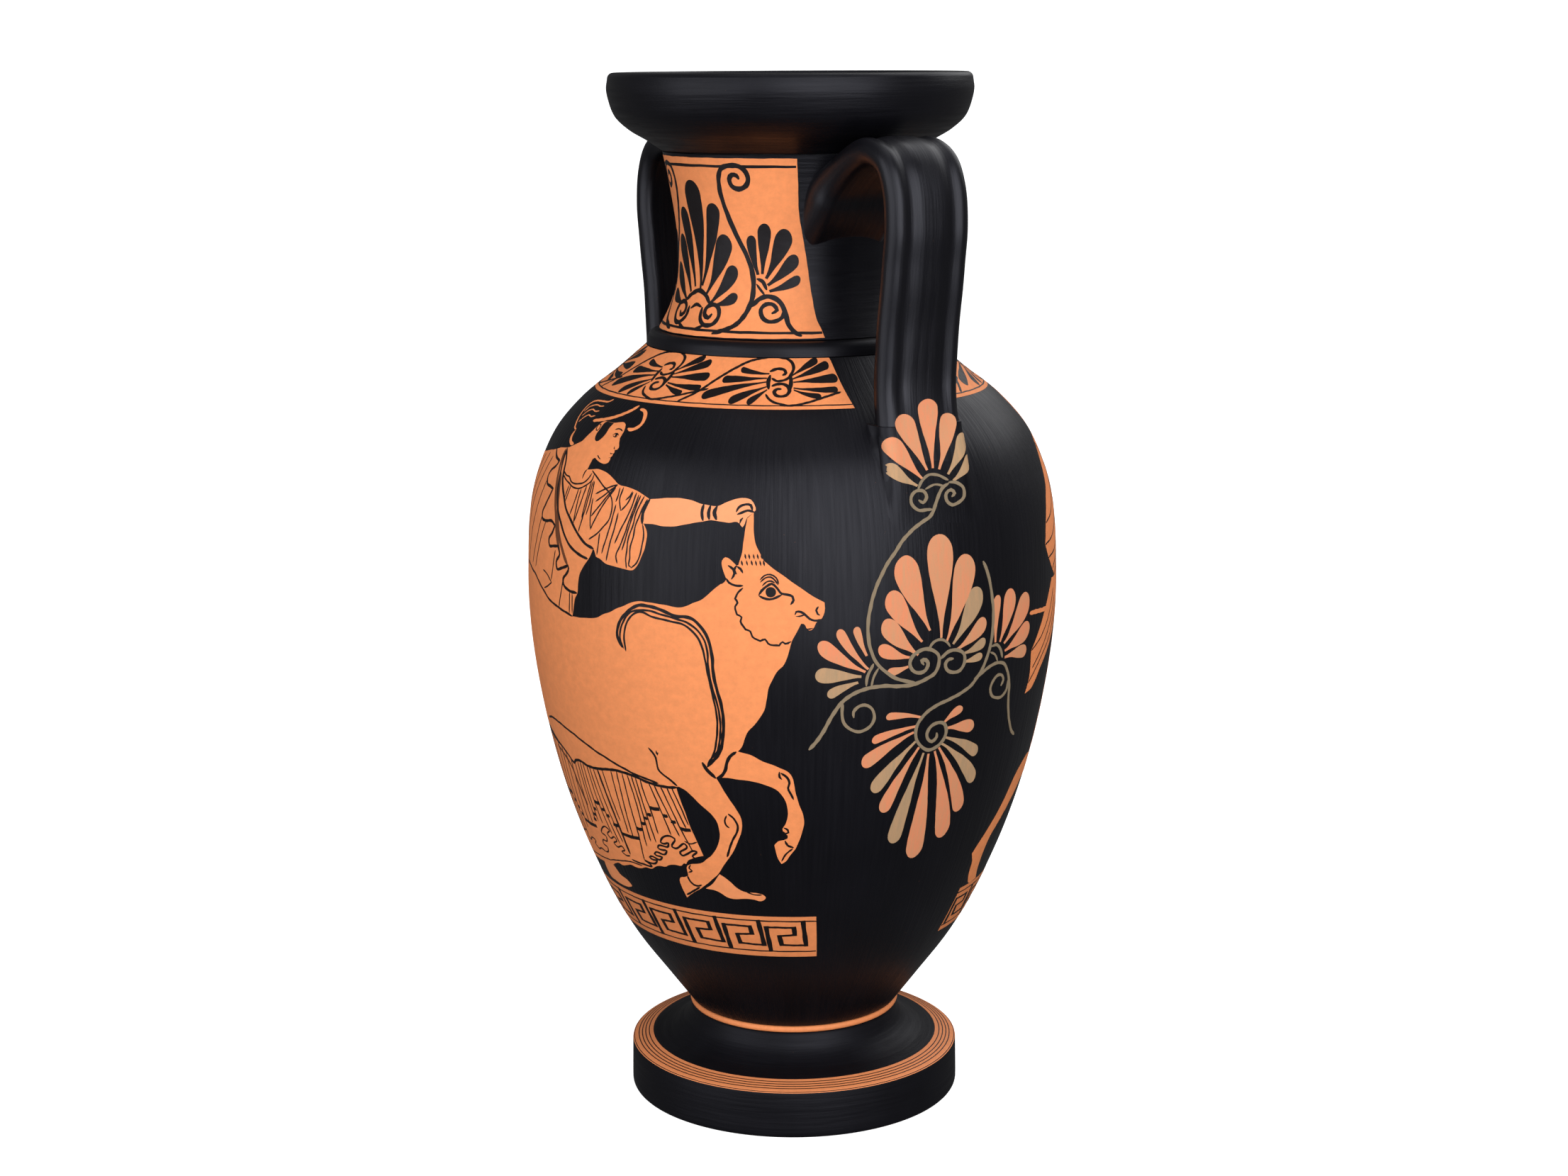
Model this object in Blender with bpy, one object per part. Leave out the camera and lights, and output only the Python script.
"""Red-figure neck-amphora, 360 mm tall: a wheel-thrown vessel luted together from eight pieces.

Frame: metres, +Z up. The origin is the centre of the foot's standing ring, on the surface it stands on.
The handles lie on the X axis, so the two painted sides face -Y and +Y.
Each thrown piece is a turned profile of (radius, height) points, in millimetres, running down its
outside and back up its inside. The pieces are stacked with a slip joint of SEAM between them.
"""

import math

import bmesh
import bpy
from mathutils import Vector

MM = 0.001

# Driving heights, in millimetres above the table.
RIM_TOP = 360.0
MOUTH_BASE = 334.0
NECK_BASE = 273.8
RING_BASE = 268.6
BODY_BASE = 32.8
FILLET_BASE = 29.6
FOOT_TOP = FILLET_BASE

# Driving radii and thicknesses, in millimetres.
RIM_RADIUS = 62.2
NECK_WALL = 5.0
BODY_WALL = 6.0
FOOT_RADIUS = 58.8
STANDING_RING = 13.0
FOOT_RECESS = 7.0
BOSS_RADIUS = 20.0
SEAM = 0.3

# The strap handles: width along Y and thickness, in millimetres.
STRAP_WIDTH = 30.0
STRAP_THICKNESS = 9.0
ROOT_WIDENING = 0.14
ROOT_THICKENING = 0.8
RIB_WIDTH = 6.0
GROOVE_DEPTH = 1.3

TURNS = 48
CURVE_STEPS = 2
BODY_STEPS = 3
ON_AXIS = 1e-7

# Outer profiles, each from top to bottom, as (radius, height) in millimetres.
BODY_OUTSIDE = [
    (50.0, RING_BASE - SEAM),
    (59.6, 260.0),
    (72.4, 250.0),
    (81.2, 240.0),
    (88.1, 225.0),
    (92.3, 190.0),
    (87.3, 140.0),
    (72.3, 90.0),
    (57.2, 60.0),
    (46.3, 45.0),
    (37.2, BODY_BASE),
]
NECK_OUTSIDE = [
    (43.6, MOUTH_BASE - SEAM),
    (41.2, 322.0),
    (38.7, 302.0),
    (39.3, 289.0),
    (42.5, 279.5),
    (45.6, NECK_BASE),
]
MOUTH_OUTSIDE = [
    (61.0, 359.2),
    (RIM_RADIUS, 356.5),
    (61.5, 350.0),
    (59.6, 345.4),
    (55.0, 341.0),
    (48.6, 337.2),
    (43.7, MOUTH_BASE),
]
FOOT_CAVETTO = [
    (50.5, 18.8),
    (44.0, 20.6),
    (39.0, 24.4),
    (36.5, FOOT_TOP - SEAM),
]


def smooth(points, steps=CURVE_STEPS):
    """Catmull-Rom curve through (radius, height) points, with steps spans between neighbours."""
    ends = [2 * Vector(points[0]) - Vector(points[1]), 2 * Vector(points[-1]) - Vector(points[-2])]
    p = [ends[0]] + [Vector(q) for q in points] + [ends[1]]
    found = []
    for i in range(1, len(p) - 2):
        for k in range(steps):
            t = k / steps
            found.append(
                0.5
                * (
                    2 * p[i]
                    + (p[i + 1] - p[i - 1]) * t
                    + (2 * p[i - 1] - 5 * p[i] + 4 * p[i + 1] - p[i + 2]) * t**2
                    + (3 * p[i] - p[i - 1] - 3 * p[i + 1] + p[i + 2]) * t**3
                )
            )
    found.append(p[-2])
    return [(q[0], q[1]) for q in found]


def inset(outline, distance):
    """The outline moved inwards, towards the vessel's axis, by distance along its own normal."""
    moved = []
    for i, point in enumerate(outline):
        before = Vector(outline[max(i - 1, 0)])
        after = Vector(outline[min(i + 1, len(outline) - 1)])
        along = (after - before).normalized()
        moved.append((point[0] + along[1] * distance, point[1] - along[0] * distance))
    return moved


def make_material(name, colour, roughness):
    material = bpy.data.materials.new(name)
    material.use_nodes = True
    surface = material.node_tree.nodes["Principled BSDF"]
    surface.inputs["Base Color"].default_value = (*colour, 1.0)
    surface.inputs["Roughness"].default_value = roughness
    surface.inputs["Metallic"].default_value = 0.0
    material.diffuse_color = (*colour, 1.0)
    return material


def add_object(name, bm, material, parent):
    mesh = bpy.data.meshes.new(name)
    bm.to_mesh(mesh)
    bm.free()
    mesh.shade_smooth()
    mesh.set_sharp_from_angle(angle=math.radians(35))
    mesh.materials.append(material)
    piece = bpy.data.objects.new(name, mesh)
    piece.parent = parent
    bpy.context.scene.collection.objects.link(piece)
    return piece


def turned(name, profile, material, parent, closed=True):
    """A solid of revolution. A closed profile is a loop; an open one starts and ends on the axis."""
    bm = bmesh.new()
    rings = []
    for r, z in profile:
        if r < ON_AXIS:
            rings.append([bm.verts.new((0.0, 0.0, z * MM))] * TURNS)
            continue
        angles = [2 * math.pi * k / TURNS for k in range(TURNS)]
        rings.append([bm.verts.new((r * MM * math.cos(a), r * MM * math.sin(a), z * MM)) for a in angles])
    pairs = list(zip(rings, rings[1:]))
    if closed:
        pairs.append((rings[-1], rings[0]))
    for first, second in pairs:
        for k in range(TURNS):
            n = (k + 1) % TURNS
            corners = [first[k], first[n], second[n], second[k]]
            bm.faces.new(list(dict.fromkeys(corners)))
    bmesh.ops.recalc_face_normals(bm, faces=bm.faces)
    return add_object(name, bm, material, parent)


def foot_profile():
    """Disc foot: flat ledge, cavetto up to the fillet, hollowed underside, boss through the fillet."""
    r = FOOT_RADIUS
    side = [(58.2, 16.8), (58.6, 15.8), (r, 4.0), (r - 0.4, 1.2), (r - 1.8, 0.0)]
    inner = r - STANDING_RING
    under = [(inner, 0.0), (inner - 3.0, FOOT_RECESS - 1.5), (inner - 12.0, FOOT_RECESS), (0.0, FOOT_RECESS)]
    step = BOSS_RADIUS - SEAM
    boss = [(0.0, BODY_BASE - SEAM), (step, BODY_BASE - SEAM), (step, FOOT_TOP - SEAM)]
    return boss + smooth(FOOT_CAVETTO)[::-1] + side + under


def fillet_profile():
    """The small half-round band of clay over the seam between the foot and the body."""
    height = BODY_BASE - SEAM - FILLET_BASE
    middle = FILLET_BASE + height / 2
    count = 6
    bulge = [
        (36.6 + 1.0 * math.sin(math.pi * k / count), middle + height / 2 * math.cos(math.pi * k / count))
        for k in range(count + 1)
    ]
    return bulge + [(BOSS_RADIUS, FILLET_BASE), (BOSS_RADIUS, FILLET_BASE + height)]


def body_profile():
    """The thrown body: a wall of BODY_WALL that thickens into a flat floor over the foot."""
    outside = smooth(BODY_OUTSIDE, BODY_STEPS)
    floor = [(34.0, BODY_BASE + 9.0), (20.0, BODY_BASE + 7.0), (0.0, BODY_BASE + 6.5)]
    wall = inset(outside, BODY_WALL)[2::2]
    inside = [point for point in wall if point[1] > floor[0][1] + 4.0]
    lip = (NECK_OUTSIDE[-1][0] - NECK_WALL, RING_BASE - SEAM)
    return [(0.0, BODY_BASE)] + outside[::-1] + [lip] + inside + floor


def ring_profile():
    """The raised collar of clay over the seam between the neck and the shoulder."""
    top = NECK_BASE - SEAM
    return [
        (46.2, top),
        (47.9, top - 0.4),
        (49.1, top - 1.6),
        (49.7, top - 3.2),
        (49.9, RING_BASE),
        (NECK_OUTSIDE[-1][0] - NECK_WALL, RING_BASE),
        (NECK_OUTSIDE[-1][0] - NECK_WALL, top),
    ]


def neck_profile():
    outside = smooth(NECK_OUTSIDE)
    inside = inset(outside, NECK_WALL)[::-1][::2]
    inside[0] = (NECK_OUTSIDE[-1][0] - NECK_WALL, NECK_BASE)
    inside[-1] = (NECK_OUTSIDE[0][0] - NECK_WALL, MOUTH_BASE - SEAM)
    return outside + inside


def mouth_profile():
    """Echinus mouth with a flat top, funnelled inside down to the neck's bore."""
    throat = NECK_OUTSIDE[0][0] - NECK_WALL
    flat_top = [(52.0, RIM_TOP), (58.6, RIM_TOP)]
    funnel = [(throat, MOUTH_BASE), (41.0, 339.0), (46.5, 344.5), (50.0, 351.0), (50.8, 358.6)]
    return flat_top + smooth(MOUTH_OUTSIDE) + funnel


# The handle's centreline in its own plane, as (distance from the axis, height), from neck to shoulder.
HANDLE_LINE = [
    (36.0, 315.0),
    (45.0, 325.0),
    (56.0, 332.2),
    (68.0, 335.6),
    (77.0, 332.0),
    (82.0, 323.5),
    (83.2, 312.0),
    (82.0, 300.0),
    (79.6, 286.0),
    (77.8, 271.0),
    (77.4, 258.0),
    (79.2, 247.0),
    (83.4, 236.0),
]


def strap_section(width, thickness):
    """Cross-section of a handle: a strap with a rounded rib along each edge and a shallow groove inside it.
    Points are (across, outwards), counted round from the inner face."""
    w, t = width / 2, thickness / 2
    groove = w - RIB_WIDTH
    half = [
        (0.0, t - 0.2),
        (groove - 3.0, t - 0.4),
        (groove, t - GROOVE_DEPTH),
        (groove + 1.4, t - 0.3),
        (w - 2.6, t),
        (w - 0.7, t * 0.62),
        (w, 0.0),
        (w - 0.9, -t * 0.66),
        (w - 3.4, -t * 0.95),
        (0.0, -t),
    ]
    mirrored = [(-a, b) for a, b in half[-2:0:-1]]
    return half + mirrored


def handle_mesh(side):
    """The strap swept along HANDLE_LINE. side is +1 for the handle at +X and -1 for the one at -X."""
    bm = bmesh.new()
    line = smooth(HANDLE_LINE)
    rings = []
    last = len(line) - 1
    for i, (x, z) in enumerate(line):
        before = Vector(line[max(i - 1, 0)])
        after = Vector(line[min(i + 1, last)])
        along = (after - before).normalized()
        out = Vector((-along[1], along[0]))
        near_neck = max(0.0, 1 - i / (0.25 * last)) ** 2
        near_shoulder = max(0.0, 1 - (last - i) / (0.25 * last)) ** 2
        width = STRAP_WIDTH * (1 + ROOT_WIDENING * (near_neck + near_shoulder))
        thickness = STRAP_THICKNESS * (1 + ROOT_THICKENING * near_neck)
        ring = []
        for a, b in strap_section(width, thickness):
            px = (x + out[0] * b) * MM * side
            pz = (z + out[1] * b) * MM
            ring.append(bm.verts.new((px, a * MM, pz)))
        rings.append(ring)
    for first, second in zip(rings, rings[1:]):
        for k in range(len(first)):
            n = (k + 1) % len(first)
            bm.faces.new((first[k], first[n], second[n], second[k]))
    bm.faces.new(rings[0])
    bm.faces.new(rings[-1])
    bmesh.ops.recalc_face_normals(bm, faces=bm.faces)
    return bm


def keep_clear_of(piece, name, profile, parent, material):
    """Cuts the piece back to SEAM from a turned shape that fills its profile down to the axis."""
    grown = inset(profile, -SEAM)
    solid = [(0.0, grown[0][1])] + grown + [(0.0, grown[-1][1])]
    cutter = turned(name, solid, material, parent, closed=False)
    cutter.hide_render = True
    cutter.display_type = "WIRE"
    cut = piece.modifiers.new(name, "BOOLEAN")
    cut.operation = "DIFFERENCE"
    cut.solver = "EXACT"
    cut.object = cutter


def main():
    for old in list(bpy.data.objects):
        bpy.data.objects.remove(old)
    black = make_material("black_gloss", (0.012, 0.012, 0.016), 0.42)
    clay = make_material("reserved_clay", (0.78, 0.33, 0.12), 0.62)
    amphora = bpy.data.objects.new("amphora", None)
    bpy.context.scene.collection.objects.link(amphora)

    turned("foot", foot_profile(), black, amphora, closed=False)
    turned("foot_fillet", fillet_profile(), clay, amphora)
    turned("body", body_profile(), black, amphora, closed=False)
    turned("neck_ring", ring_profile(), black, amphora)
    turned("neck", neck_profile(), black, amphora)
    turned("mouth", mouth_profile(), black, amphora)

    neck_and_lip = smooth(MOUTH_OUTSIDE)[:-1] + smooth(NECK_OUTSIDE)[1:]
    shoulder = smooth(BODY_OUTSIDE, BODY_STEPS)
    for name, side in (("handle_right", 1), ("handle_left", -1)):
        handle = add_object(name, handle_mesh(side), black, amphora)
        keep_clear_of(handle, name + "_neck_seat", neck_and_lip, amphora, black)
        keep_clear_of(handle, name + "_shoulder_seat", shoulder, amphora, black)


main()
